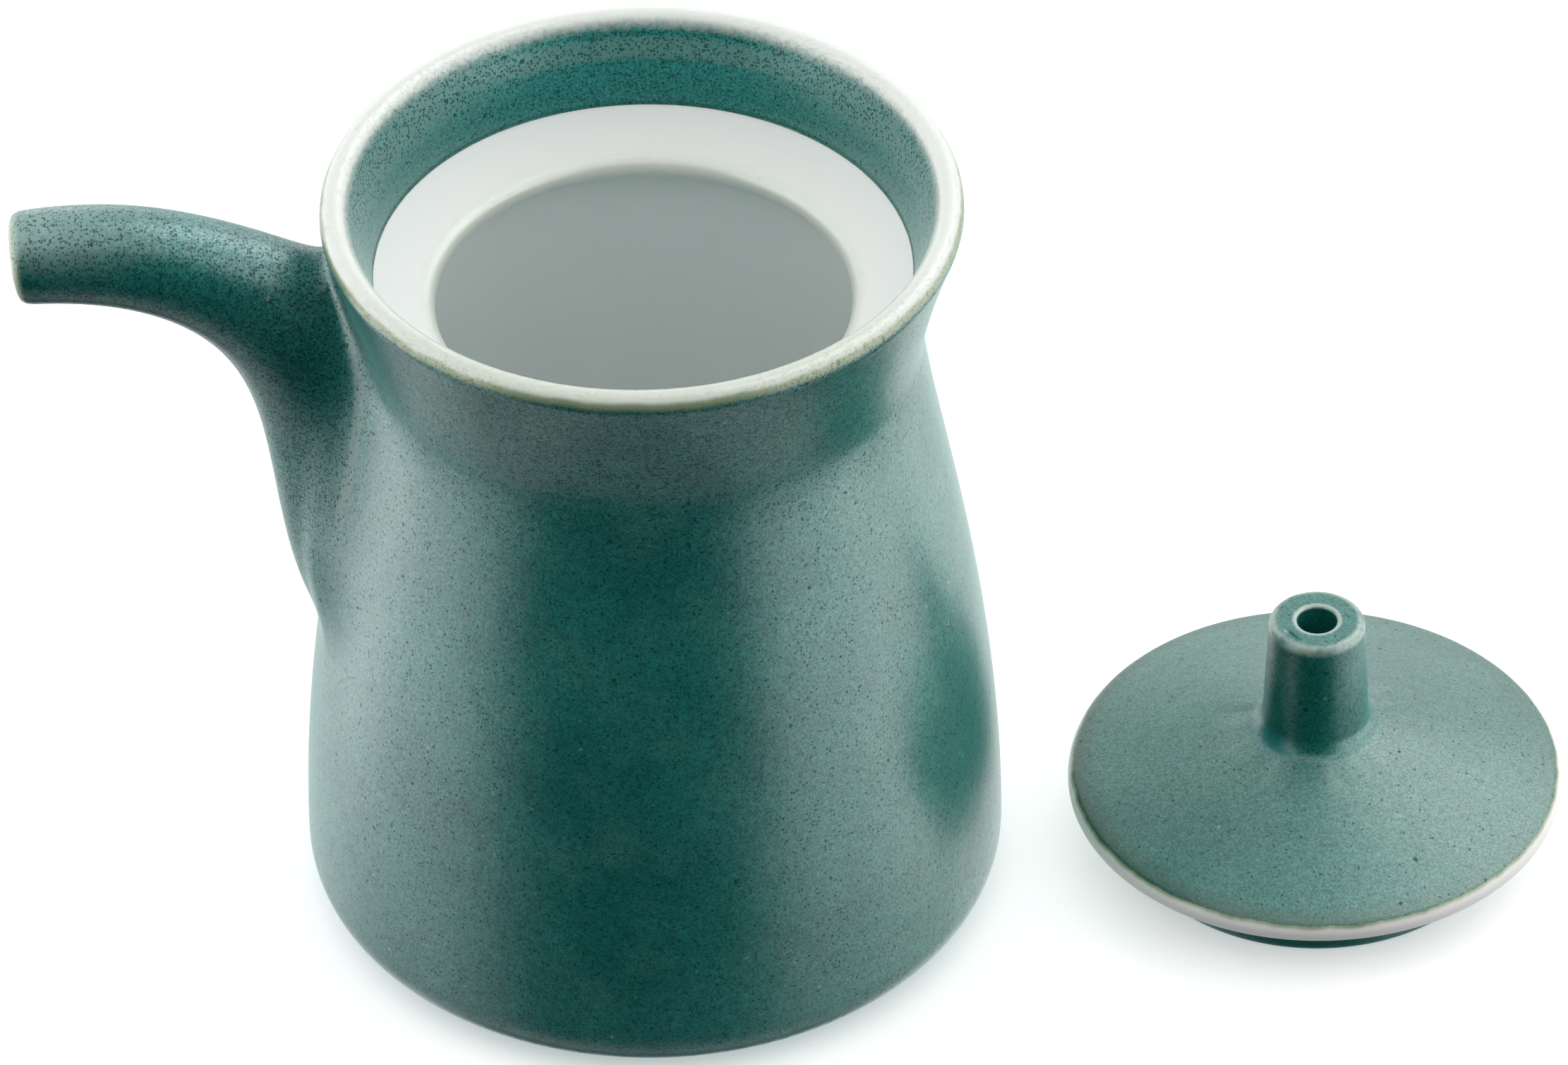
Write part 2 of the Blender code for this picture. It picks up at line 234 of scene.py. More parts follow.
def inside_outline():
    """The hollow from the middle of its floor up the wall, over the seat and the well to the lip."""
    outside = joined(shoulder_outline(), corner_outline())
    along = np.gradient(outside)
    wall = (outside - 1j * WALL * along / np.abs(along))[::-1]
    nose_centre = nose_position()
    nose = arc(nose_centre, NOSE_RADIUS, math.pi + LEDGE_ANGLE, math.pi / 2 + SEAT_SLOPE, count=12)
    under_nose = nose[0] + LEDGE_HANDLE * (math.sin(LEDGE_ANGLE) - 1j * math.cos(LEDGE_ANGLE))
    ledge = bezier(wall[-1], wall[-1] + 1j * LEDGE_HANDLE, under_nose, nose[0], count=10)
    fillet = rounded(nose[-1], SEAT_EDGE, SEAT_EDGE + 1j, SEAT_FILLET, count=6)
    inner_lip = arc(LIP_CENTRE, LIP_RADIUS, math.pi - FLARE_ANGLE, math.pi / 2, count=10)
    up = 1j * np.exp(-1j * FLARE_ANGLE)
    well = bezier(
        fillet[-1],
        SEAT_EDGE + 1j * WELL_HANDLE,
        inner_lip[0] - up * WELL_HANDLE,
        inner_lip[0],
        count=14,
    )
    above = inner_lip[-1] + 1j * HOLLOW_ABOVE_LIP
    return joined(1j * wall[0].imag, wall, ledge, nose, fillet, well, inner_lip, above)


def nose_position():
    """Centre of the mouth's rounded edge, which is tangent to the seat's cone."""
    radius = MOUTH_RADIUS + NOSE_RADIUS
    drop = (SEAT_EDGE.real - radius) * math.tan(SEAT_SLOPE) + NOSE_RADIUS / math.cos(SEAT_SLOPE)
    return radius + 1j * (SEAT_EDGE.imag - drop)


# ---------------------------------------------------------------- fields

class TurnedRegion:
    """What lies between an outline and the axis, as tables of signed distance and of place on it."""

    def __init__(self, outline, zero_at):
        radius, height = np.meshgrid(TABLE_RADII, TABLE_HEIGHTS, indexing="ij")
        points = radius + 1j * height
        nearest = np.full(points.shape, np.inf)
        place = np.zeros(points.shape)
        inside = np.zeros(points.shape, bool)
        travelled = 0.0
        for start, end in zip(outline, outline[1:]):
            step = end - start
            share = np.clip(((points - start) * step.conjugate()).real / abs(step) ** 2, 0, 1)
            distance = np.abs(points - start - share * step)
            closer = distance < nearest
            nearest[closer] = distance[closer]
            place[closer] = travelled + share[closer] * abs(step)
            crosses = (start.imag > height) != (end.imag > height)
            rise = step.imag if step.imag else 1.0
            inside ^= crosses & (radius < start.real + (height - start.imag) * step.real / rise)
            travelled += abs(step)
        self.outline = outline
        self.zero = place_of(outline, zero_at)
        self.signed = np.where(inside, -nearest, nearest)
        self.place = place - self.zero

    def look_up(self, table, radius, height):
        column = np.clip(radius / TABLE_STEP, 0, table.shape[0] - 1.001)
        row = np.clip((height - TABLE_HEIGHTS[0]) / TABLE_STEP, 0, table.shape[1] - 1.001)
        i, j = column.astype(int), row.astype(int)
        u, v = column - i, row - j
        low = table[i, j] * (1 - u) + table[i + 1, j] * u
        high = table[i, j + 1] * (1 - u) + table[i + 1, j + 1] * u
        return low * (1 - v) + high * v


class Spout:
    """The horn between two rails, as a field that is zero on its skin and roughly a distance near it."""

    def __init__(self):
        tip_up = TIP_RADIUS * 1j * np.exp(-1j * TIP_ANGLE)
        root = bezier(
            UPPER_ROOT,
            UPPER_ROOT + 1j * UPPER_ROOT_HANDLES[0],
            UPPER_START - leftward(UPPER_ANGLE) * UPPER_ROOT_HANDLES[1],
            UPPER_START,
            SECTION_COUNT,
        )
        top = rail(UPPER_START, TIP + tip_up, UPPER_ANGLE, UPPER_TIP_ANGLE, UPPER_HANDLES)
        bottom = rail(LOWER_START, TIP - tip_up, LOWER_ANGLE, LOWER_TIP_ANGLE, LOWER_HANDLES)
        upper = evenly(joined(root, top), SECTION_COUNT)
        lower = evenly(bottom, SECTION_COUNT)
        t = np.linspace(0, 1, SECTION_COUNT + 1)
        self.centre = (upper + lower) / 2
        self.half_height = np.abs(upper - lower) / 2
        self.across = (upper - lower) / np.abs(upper - lower)
        self.half_width = TIP_RADIUS + (ROOT_HALF_WIDTH - TIP_RADIUS) * (1 - t) ** TAPER
        self.length = np.append(0, np.cumsum(np.abs(np.diff(self.centre))))

    def section_at(self, x, z):
        """The number of the section whose line passes through each point, with its fraction."""
        points = x + 1j * z
        count = np.zeros(points.shape)
        found = np.zeros(points.shape)
        previous = None
        for centre, across in zip(self.centre, self.across):
            beyond = ((points - centre) * across.conjugate()).imag
            if previous is not None:
                here = (previous > 0) & (beyond <= 0)
                found = np.where(here, count - 1 + previous / np.maximum(previous - beyond, 1e-9), found)
            count += 1
            previous = beyond
        return np.where(previous > 0, count - 1, found)

    def fields(self, x, y, z):
        """The outer skin's field, the bore's field and the distance from the tip."""
        section = self.section_at(x, z)
        index = np.arange(len(self.centre))

        def value(table):
            return np.interp(section, index, table)

        centre = value(self.centre.real) + 1j * value(self.centre.imag)
        across = value(self.across.real) + 1j * value(self.across.imag)
        offset = np.abs(((x + 1j * z - centre) * across.conjugate()).real)
        height, width = value(self.half_height), value(self.half_width)
        beyond_tip = ((x + 1j * z - TIP) * leftward(TIP_ANGLE).conjugate()).real
        behind_root = -((x + 1j * z - self.centre[0]) * self.across[0].conjugate()).imag - ROOT_DEPTH
        skin = smooth_max(oval(offset, y, height, width), beyond_tip, TIP_ROUNDING)
        bore = oval(offset, y, height - SPOUT_WALL, width - SPOUT_WALL)
        from_tip = self.length[-1] - value(self.length)
        return np.maximum(skin, behind_root), np.maximum(bore, behind_root), from_tip


def oval(offset, y, height, width):
    """A distance estimate for an ellipse."""
    level = np.sqrt((offset / height) ** 2 + (y / width) ** 2)
    slope = np.sqrt((offset / height**2) ** 2 + (y / width**2) ** 2)
    return level * (level - 1) / np.maximum(slope, 1e-6)


def smooth_min(a, b, reach):
    """The lower of two fields, with a rounded valley where they meet."""
    overlap = np.maximum(reach - np.abs(a - b), 0) / reach
    return np.minimum(a, b) - overlap**3 * reach / 6


def smooth_max(a, b, reach):
    return -smooth_min(-a, -b, reach)


def smooth_step(low, high, value):
    share = np.clip((value - low) / (high - low), 0, 1)
    return share * share * (3 - 2 * share)


class Bottle:
    """The bottle and its spout as one field: negative inside the clay."""

    def __init__(self):
        crest = LIP_CENTRE + 1j * LIP_RADIUS
        self.outside = TurnedRegion(outside_outline(), crest)
        self.inside = TurnedRegion(inside_outline(), crest)
        self.spout = Spout()

    def parts(self, points):
        x, y, z = points.T
        radius = np.hypot(x, y)
        outer = self.outside.look_up(self.outside.signed, radius, z)
        hollow = self.inside.look_up(self.inside.signed, radius, z)
        skin, bore, from_tip = (np.full(len(points), FAR) for _ in range(3))
        near = x < SPOUT_INNER_END
        skin[near], bore[near], from_tip[near] = self.spout.fields(x[near], y[near], z[near])
        bore = smooth_max(bore, -outer, CUT_ROUNDING)
        outlet = np.hypot(y, z - OUTLET_HEIGHT) - OUTLET_RADIUS
        outlet = np.maximum(np.maximum(outlet, x - OUTLET_END), outer - OUTLET_OVERRUN)
        return outer, hollow, skin, np.minimum(bore, outlet), from_tip

    def field(self, points):
        outer, hollow, skin, passage, _ = self.parts(points)
        wider = smooth_step(*SIDE_FADE, np.abs(points[:, 1])) * smooth_step(*FOOT_FADE, points[:, 2])
        reach = MIDDLE_FILLET + (SIDE_FILLET - MIDDLE_FILLET) * wider
        reach += (RIM_FILLET - reach) * smooth_step(*RIM_FADE, points[:, 2])
        solid = smooth_max(smooth_min(outer, skin, reach), -passage, CUT_ROUNDING)
        return np.maximum(solid, -hollow)

    def gradient(self, points, step=0.2):
        slopes = []
        for axis in np.eye(3) * step:
            slopes.append((self.field(points + axis) - self.field(points - axis)) / (2 * step))
        return np.stack(slopes, 1)


# ---------------------------------------------------------------- skins

def surface_net(field, axes):
    """Points and quads of the surface where a field sampled on a grid changes sign."""
    inside = field < 0
    cells = tuple(size - 1 for size in field.shape)
    total = np.zeros(cells, np.int16)
    for corner in np.ndindex(2, 2, 2):
        total += inside[tuple(slice(c, c + n) for c, n in zip(corner, cells))]
    active = (total > 0) & (total < 8)
    number = np.full(cells, -1)
    number[active] = np.arange(active.sum())
    where = np.argwhere(active)
    places = np.zeros(where.shape)
    crossings = np.zeros(len(where))
    quads = []
    for axis in range(3):
        unit = np.eye(3, dtype=int)[axis]
        second, third = (axis + 1) % 3, (axis + 2) % 3
        for a, b in np.ndindex(2, 2):
            offset = np.zeros(3, int)
            offset[second], offset[third] = a, b
            low = field[tuple((where + offset).T)]
            high = field[tuple((where + offset + unit).T)]
            cut = (low < 0) != (high < 0)
            share = np.where(cut, low / np.where(cut, low - high, 1), 0)
            places[cut] += offset + share[cut, None] * unit
            crossings += cut
        rolled = np.moveaxis(inside, (axis, second, third), (0, 1, 2))
        numbers = np.moveaxis(number, (axis, second, third), (0, 1, 2))
        change = rolled[:-1, 1:-1, 1:-1] != rolled[1:, 1:-1, 1:-1]
        i, j, k = np.nonzero(change)
        ring = np.stack([numbers[i, j + dj, k + dk] for dj, dk in ((0, 0), (1, 0), (1, 1), (0, 1))], 1)
        outward = rolled[:-1, 1:-1, 1:-1][i, j, k]
        ring[~outward] = ring[~outward][:, ::-1]
        quads.append(ring)
    places = where + places / crossings[:, None]
    points = np.stack([np.interp(places[:, n], np.arange(len(axes[n])), axes[n]) for n in range(3)], 1)
    return points, np.concatenate(quads)


def neighbour_mean(points, pairs):
    """Each point's neighbours, averaged."""
    ends = np.concatenate([pairs, pairs[:, ::-1]])
    degree = np.bincount(ends[:, 0], minlength=len(points))
    sums = [np.bincount(ends[:, 0], points[ends[:, 1], n], len(points)) for n in range(3)]
    return np.stack(sums, 1) / degree[:, None]


def unit(vectors):
    return vectors / np.maximum(np.linalg.norm(vectors, axis=1, keepdims=True), 1e-9)


def settled(bottle, points, quads):
    """Points spread evenly along the surface and pulled onto it exactly, with their normals."""
    pairs = np.concatenate([quads[:, [n, (n + 1) % 4]] for n in range(4)])
    pairs = np.unique(np.sort(pairs, 1), axis=0)
    for _ in range(RELAX_ROUNDS):
        slope = bottle.gradient(points)
        normal = unit(slope)
        drift = neighbour_mean(points, pairs) - points
        drift -= np.sum(drift * normal, 1, keepdims=True) * normal
        points = points + RELAX_SHARE * drift
        pull = bottle.field(points) / np.maximum(np.sum(slope * slope, 1), LEAST_SLOPE**2)
        points = points - np.clip(pull, -LONGEST_PULL, LONGEST_PULL)[:, None] * slope
    return points, unit(bottle.gradient(points))


def new_piece(name, points, faces, attributes):
    """A smooth-shaded mesh object from points in millimetres; an attribute has one number per point."""
    mesh = bpy.data.meshes.new(name)
    mesh.from_pydata((points * MM).tolist(), [], faces.tolist())
    for label, values in attributes.items():
        layer = mesh.attributes.new(label, "FLOAT", "POINT")
        layer.data.foreach_set("value", np.asarray(values, np.float32))
    mesh.shade_smooth()
    piece = bpy.data.objects.new(name, mesh)
    bpy.context.scene.collection.objects.link(piece)
    return piece


def glaze_guides(bottle, points):
    """What the glaze has to know about each point of the skin."""
    outer, hollow, skin, passage, from_tip = bottle.parts(points)
    radius = np.hypot(points[:, 0], points[:, 1])
    within = np.abs(hollow) < np.abs(outer)
    from_lip = np.where(
        within & (skin > -WELL_END_DEPTH),
        bottle.inside.look_up(bottle.inside.place, radius, points[:, 2]),
        bottle.outside.look_up(bottle.outside.place, radius, points[:, 2]),
    )
    off_wall = np.where(within, 0, np.maximum(outer - FADE_START, 0))
    return {
        "from_lip": from_lip + FADE_RATE * off_wall,
        "from_tip": from_tip,
        "spout_share": smooth_step(*SPOUT_SHARE_FADE, outer - np.maximum(skin, 0)),
        "in_bore": (np.abs(passage) < PASSAGE_NEARNESS) & (np.abs(hollow) > PASSAGE_NEARNESS),
    }


def bottle_skin():
    bottle = Bottle()
    x_start, y_start, z_start = SKIN_GRID_START
    x = np.arange(x_start, SKIN_GRID_SIDE, SKIN_STEP)
    y = np.arange(y_start, SKIN_GRID_SIDE + SKIN_STEP, SKIN_STEP)
    z = np.append(
        np.arange(z_start, FINE_SKIN_ABOVE, SKIN_STEP),
        np.arange(FINE_SKIN_ABOVE, SKIN_GRID_TOP, FINE_SKIN_STEP),
    )
    grid = np.stack(np.meshgrid(x, y, z, indexing="ij"), -1)
    field = bottle.field(grid.reshape(-1, 3)).reshape(grid.shape[:3])
    points, quads = surface_net(field, (x, y, z))
    points, normals = settled(bottle, points, quads)
    piece = new_piece("bottle_with_spout", points, quads, glaze_guides(bottle, points))
    piece.data.normals_split_custom_set_from_vertices(normals.tolist())
    inside, outside = bottle.inside, bottle.outside
    places = {
        "seat": place_of(inside.outline, SEAT_EDGE) - inside.zero,
        "nose": place_of(inside.outline, nose_position() + 1j * NOSE_RADIUS) - inside.zero,
        "base": place_of(outside.outline, BASE_RADIUS) - outside.zero,
    }
    return piece, places


# ---------------------------------------------------------------- lid

# Heights are above the table, and radii from the lid's axis
LID_EDGE_TOP = 9.2
LID_EDGE_BOTTOM = 7.1
LID_EDGE_ROUND = 1.4
FLANGE_RADIUS = 22.1
FLANGE_INNER_RADIUS = 19.6
FLANGE_ROUND = 0.6
BEVEL_INNER_RADIUS = 23.0
BEVEL_ROUND = 0.4
LID_THICKNESS = 3.4
KNOB_LAND = 6.9 + 16.0j
KNOB_BASE_RADIUS = 6.2
KNOB_TOP_RADIUS = 5.5
KNOB_ROUND = 0.9
KNOB_FOOT_FILLET = 2.2
AIR_HOLE_RADIUS = 2.3
AIR_HOLE_ROUND = 0.35
LID_TURN_STEPS = 256
LID_POINT_SPACING = 0.45
KNOB_TOP_SPACING = 0.15
NICK_MIDDLE = -2.9 - 2.7j
NICK_DIRECTION = np.exp(-0.9j)
NICK_LENGTH = 1.1
NICK_WIDTH = 0.26
NICK_DEPTH = 0.35


def spaced(path):
    """The same outline with extra points on its long straight stretches, closest at the knob's top."""
    stretches = [path[:1]]
    for start, end in zip(path, path[1:]):
        at_top = min(start.imag, end.imag) > KNOB_TOP - KNOB_ROUND
        spacing = KNOB_TOP_SPACING if at_top else LID_POINT_SPACING
        count = max(1, math.ceil(abs(end - start) / spacing))
        stretches.append(start + (end - start) * np.arange(1, count + 1) / count)
    return np.concatenate(stretches)


def lid_outline():
    """The lid from its hollow's roof up the air hole, over the knob and the cone, and back underneath."""
    slope = (KNOB_LAND.imag - LID_EDGE_TOP) / (LID_RADIUS - LID_EDGE_ROUND - KNOB_LAND.real)
    cone_edge = LID_RADIUS + 1j * (KNOB_LAND.imag - slope * (LID_RADIUS - KNOB_LAND.real))
    knob_foot = KNOB_BASE_RADIUS + 1j * (KNOB_LAND.imag + slope * (KNOB_LAND.real - KNOB_BASE_RADIUS))
    knob_corner = KNOB_TOP_RADIUS + 1j * KNOB_TOP
    hole_corner = AIR_HOLE_RADIUS + 1j * KNOB_TOP
    hole_foot = AIR_HOLE_RADIUS + 1j * (KNOB_LAND.imag - LID_THICKNESS)
    edge_foot = LID_RADIUS + 1j * LID_EDGE_BOTTOM
    bevel_rise = (LID_RADIUS - BEVEL_INNER_RADIUS) * math.tan(SEAT_SLOPE)
    bevel_foot = BEVEL_INNER_RADIUS + 1j * (LID_EDGE_BOTTOM - bevel_rise)
    flange_top = FLANGE_RADIUS + 1j * bevel_foot.imag
    flange_foot, flange_inner_foot = complex(FLANGE_RADIUS), complex(FLANGE_INNER_RADIUS)
    drop = LID_THICKNESS * math.hypot(1, slope)
    roof = FLANGE_INNER_RADIUS + 1j * (
        KNOB_LAND.imag - slope * (FLANGE_INNER_RADIUS - KNOB_LAND.real) - drop
    )
    land_under = KNOB_LAND - 1j * LID_THICKNESS
    corners = {
        "hole": hole_corner,
        "shoulder": knob_corner,
        "foot": knob_foot,
        "edge": cone_edge,
        "bevel_foot": bevel_foot,
        "flange_foot": flange_inner_foot,
    }
    outline = joined(
        hole_foot,
        rounded(hole_foot, hole_corner, knob_corner, AIR_HOLE_ROUND, count=5),
        rounded(hole_corner, knob_corner, knob_foot, KNOB_ROUND, count=8),
        rounded(knob_corner, knob_foot, cone_edge, KNOB_FOOT_FILLET, count=8),
        rounded(knob_foot, cone_edge, edge_foot, LID_EDGE_ROUND, count=6),
        rounded(cone_edge, edge_foot, bevel_foot, BEVEL_ROUND, count=4),
        rounded(edge_foot, bevel_foot, flange_top, BEVEL_ROUND, count=3),
        flange_top,
        rounded(flange_top, flange_foot, flange_inner_foot, FLANGE_ROUND, count=5),
        rounded(flange_foot, flange_inner_foot, roof, FLANGE_ROUND, count=5),
        roof,
        land_under,
        hole_foot,
    )
    return outline, corners


def lid_skin():
    outline, corners = lid_outline()
    path = spaced(outline)[:-1]
    angles = np.linspace(0, 2 * math.pi, LID_TURN_STEPS, endpoint=False)
    flat = path.real[:, None] * np.exp(1j * angles)
    height = path.imag[:, None] - nick_depth(flat, path.imag[:, None])
    points = np.stack([LID_CENTRE.x + flat.real, LID_CENTRE.y + flat.imag, height], -1).reshape(-1, 3)
    ring = np.arange(len(path))[:, None] * LID_TURN_STEPS
    after = np.roll(ring, -1)
    step = np.arange(LID_TURN_STEPS)
    following = np.roll(step, -1)
    quads = np.stack([ring + step, after + step, after + following, ring + following], -1)
    along = np.append(0, np.cumsum(np.abs(np.diff(path))))
    piece = new_piece("lid_with_knob", points, quads.reshape(-1, 4), {
        "along": np.repeat(along, LID_TURN_STEPS),
    })
    return piece, {name: place_of(path, corner) for name, corner in corners.items()}


def nick_depth(flat, height):
    """Depth of the small nick in the knob's top face, for places x + 1j * y from the lid's axis."""
    place = (flat - NICK_MIDDLE) * NICK_DIRECTION.conjugate()
    closeness = np.exp(-((place.real / NICK_LENGTH) ** 4) - (place.imag / NICK_WIDTH) ** 2)
    return NICK_DEPTH * closeness * (height > KNOB_TOP - KNOB_ROUND)


# ---------------------------------------------------------------- materials

class Nodes:
    """Builds a node tree with calls that take sockets or plain values and return sockets."""

    def __init__(self, tree):
        self.tree = tree

    def node(self, kind, inputs=(), **settings):
        made = self.tree.nodes.new(kind)
        for setting, value in settings.items():
            setattr(made, setting, value)
        for name, value in dict(inputs).items():
            self.put(made.inputs[name], value)
        return made

    def put(self, socket, value):
        if isinstance(value, bpy.types.NodeSocket):
            self.tree.links.new(value, socket)
        elif isinstance(value, tuple) and socket.type == "RGBA":
            socket.default_value = (*value, 1.0)
        else:
            socket.default_value = value

    def maths(self, operation, *values):
        return self.node("ShaderNodeMath", dict(enumerate(values)), operation=operation).outputs[0]

    def vector(self, operation, *values):
        return self.node("ShaderNodeVectorMath", dict(enumerate(values)), operation=operation).outputs[0]

    def add(self, *values):
        return self.maths("ADD", *values)

    def times(self, *values):
        return self.maths("MULTIPLY", *values)

    def between(self, value, low, high, to_low=0.0, to_high=1.0):
        """A smooth step from to_low at low to to_high at high."""
        return self.node(
            "ShaderNodeMapRange",
            {"Value": value, "From Min": low, "From Max": high, "To Min": to_low, "To Max": to_high},
            interpolation_type="SMOOTHSTEP",
        ).outputs[0]

    def band(self, value, middle, half_width, softness):
        """1 near the middle and 0 away from it."""
        off = self.maths("ABSOLUTE", self.add(value, -middle))
        return self.between(off, half_width + softness, half_width)

    def mix(self, share, low, high):
        """A colour between two colours."""
        node = self.node("ShaderNodeMix", {"Factor": share}, data_type="RGBA")
        self.put(node.inputs[6], low)
        self.put(node.inputs[7], high)
        return node.outputs[2]

    def blend(self, share, low, high):
        """A number between two numbers."""
        node = self.node("ShaderNodeMix", {"Factor": share}, data_type="FLOAT")
        self.put(node.inputs[2], low)
        self.put(node.inputs[3], high)
        return node.outputs[0]

    def shaded(self, colour, amount):
        """A colour made lighter or darker by a factor."""
        node = self.node("ShaderNodeVectorMath", {0: colour, "Scale": amount}, operation="SCALE")
        return node.outputs[0]

    def towards(self, place, direction):
        """How far a place lies in a direction."""
        node = self.node("ShaderNodeVectorMath", {0: place, 1: direction}, operation="DOT_PRODUCT")
        return node.outputs["Value"]


class Glaze(Nodes):
    """A ceramic material.  Feature sizes are in millimetres."""

    def __init__(self, name):
        self.material = bpy.data.materials.new(name)
        self.material.use_nodes = True
        super().__init__(self.material.node_tree)
        self.shader = self.tree.nodes["Principled BSDF"]
        position = self.node("ShaderNodeTexCoord").outputs["Object"]
        self.place = self.vector("MULTIPLY", position, (1 / MM,) * 3)

    def coordinates(self):
        """X, Y and Z, in millimetres."""
        return self.node("ShaderNodeSeparateXYZ", {0: self.place}).outputs

    def attribute(self, name):
        """One of the numbers that the piece's points carry."""
        return self.node("ShaderNodeAttribute", attribute_name=name).outputs["Fac"]

    def noise(self, size, detail=2.0, roughness=0.5, place=None):
        """Smooth noise around 0.5, with features about this size."""
        scaled = self.vector("MULTIPLY", place or self.place, (1 / size,) * 3)
        return self.node(
            "ShaderNodeTexNoise",
            {"Vector": scaled, "Scale": 1.0, "Detail": detail, "Roughness": roughness},
        ).outputs[0]

    def wander(self, size, amount):
        """Noise around 0 that makes a border uneven by about this amount."""
        return self.times(self.add(self.noise(size), -0.5), 3.0 * amount)

    def specks(self, spacing, radius, share):
        """Uneven dots in a share of the cells of a random grid: 1 in a dot and 0 outside."""
        cells = self.node("ShaderNodeTexVoronoi", {"Vector": self.place, "Scale": 1 / spacing})
        uneven = self.times(self.add(self.noise(spacing * 0.6, 1.0), -0.5), 0.9)
        from_middle = self.add(cells.outputs["Distance"], uneven)
        dot = self.between(from_middle, radius / spacing, radius / spacing * 0.5)
        chosen = self.node("ShaderNodeSeparateColor", {0: cells.outputs["Color"]}).outputs[0]
        return self.times(dot, self.maths("LESS_THAN", chosen, share))

    def finish(self, colour, roughness, height, shine):
        """Joins colour, roughness, height (in millimetres) and strength of reflection to the shader."""
        bump = self.node("ShaderNodeBump", {"Height": height, "Strength": 1.0, "Distance": MM})
        self.put(self.shader.inputs["Base Color"], colour)
        self.put(self.shader.inputs["Roughness"], roughness)
        self.put(self.shader.inputs["Specular IOR Level"], shine)
        self.put(self.shader.inputs["Normal"], bump.outputs[0])
        return self.material


# Linear colours
DEEP_TEAL = (0.005, 0.112, 0.102)
TEAL = (0.011, 0.142, 0.127)
MILKY_TEAL = (0.060, 0.205, 0.181)
BLUISH = (0.030, 0.150, 0.160)
# Painted light: the well's teal, lighter as if lit
LIT_WELL_TEAL = (0.012, 0.195, 0.180)
# Pale tint of the painted highlights on the spout's valley and tip and in the well
HIGHLIGHT_TINT = (0.230, 0.350, 0.325)
SPECK = (0.003, 0.052, 0.047)
LIGHT_SPECK = (0.200, 0.330, 0.310)
GREENER = (1.00, 1.00, 0.92)
DARK_GREEN = (0.008, 0.064, 0.044)
# Darker teal at one side of the knob's foot
FOOT_DARK_TEAL = (0.003, 0.125, 0.122)
OLIVE = (0.230, 0.290, 0.170)
PALE_LIP = (0.560, 0.615, 0.540)
WHITE_LIP = (0.690, 0.725, 0.685)
PALE_TIP = (0.340, 0.430, 0.310)
PALE_EDGE = (0.330, 0.430, 0.380)
BISQUE = (0.800, 0.808, 0.788)
NOSE_GLAZE = (0.640, 0.680, 0.620)
CLEAR_GLAZE = (0.925, 0.972, 0.958)
BASE_CLAY = (0.680, 0.670, 0.630)

# The glaze's texture, in millimetres: its grain and its dots, which have a spacing and a radius
GRAIN_SIZE = 0.29
GRAIN_RANGE = (0.28, 0.72)
MOTTLE_SIZE = 1.0
FINE_DOTS = (0.34, 0.19)
COARSE_DOTS = (1.1, 0.26)
LIGHT_DOTS = (1.4, 0.17)
RIPPLE_SIZE = 2.6
GRAIN_RELIEF = 0.012
RIPPLE_RELIEF = 0.05

# Bands of the bottle's glaze: where each starts and where it is full, along the skin from the lip's crest,
# positive outside and negative inside
NECK_SPECKS = (34.0, 4.0)
WELL_SPECKS = (-7.5, -5.0)
OLIVE_BAND = (2.7, 1.7)
PALE_BAND_OUTSIDE = (1.75, 1.15)
PALE_BAND_INSIDE = (-2.9, -0.9)

# Directions from the lid's axis: where painted shade darkens its glaze most, where its knob's foot is darker
# and where its edge is darkest
SHADED_SIDE = (0.95, 0.31, 0.0)
FOOT_DARK_SIDE = (-0.88, -0.47, 0.0)
DARK_SIDE = (-0.75, -0.66, 0.0)


def teal(glaze, depth, speck_share, milk, blue):
    """The teal glaze's colour, its grain and its dark specks."""
    grain = glaze.noise(GRAIN_SIZE, 2.0, 0.6)
    mottle = glaze.noise(MOTTLE_SIZE, 1.0)
    colour = glaze.mix(depth, DEEP_TEAL, TEAL)
    colour = glaze.mix(blue, colour, BLUISH)
    colour = glaze.mix(milk, colour, MILKY_TEAL)
    colour = glaze.shaded(colour, glaze.between(grain, *GRAIN_RANGE, 0.68, 1.32))
    colour = glaze.shaded(colour, glaze.between(mottle, 0.30, 0.70, 0.88, 1.12))
    fine = glaze.specks(*FINE_DOTS, speck_share)
    coarse = glaze.specks(*COARSE_DOTS, glaze.times(speck_share, 0.5))
    spots = glaze.maths("MAXIMUM", fine, coarse)
    colour = glaze.mix(glaze.times(spots, 0.75), colour, SPECK)
    colour = glaze.mix(glaze.times(glaze.specks(*LIGHT_DOTS, 0.09), 0.5), colour, LIGHT_SPECK)
    return colour, grain, spots


def glaze_relief(glaze, grain):
    """The glaze's skin: a fine orange peel over slow ripples, in millimetres."""
    ripples = glaze.noise(RIPPLE_SIZE, 2.0)
    return glaze.add(glaze.times(grain, GRAIN_RELIEF), glaze.times(ripples, RIPPLE_RELIEF))


def shine_of(glaze, grain, spots):
    """Strength of reflection: duller in the grain's dark parts and in the specks."""
    in_specks = glaze.between(spots, 0.0, 1.0, 1.0, 0.30)
    return glaze.times(glaze.between(grain, *GRAIN_RANGE, 0.37, 0.63), in_specks)


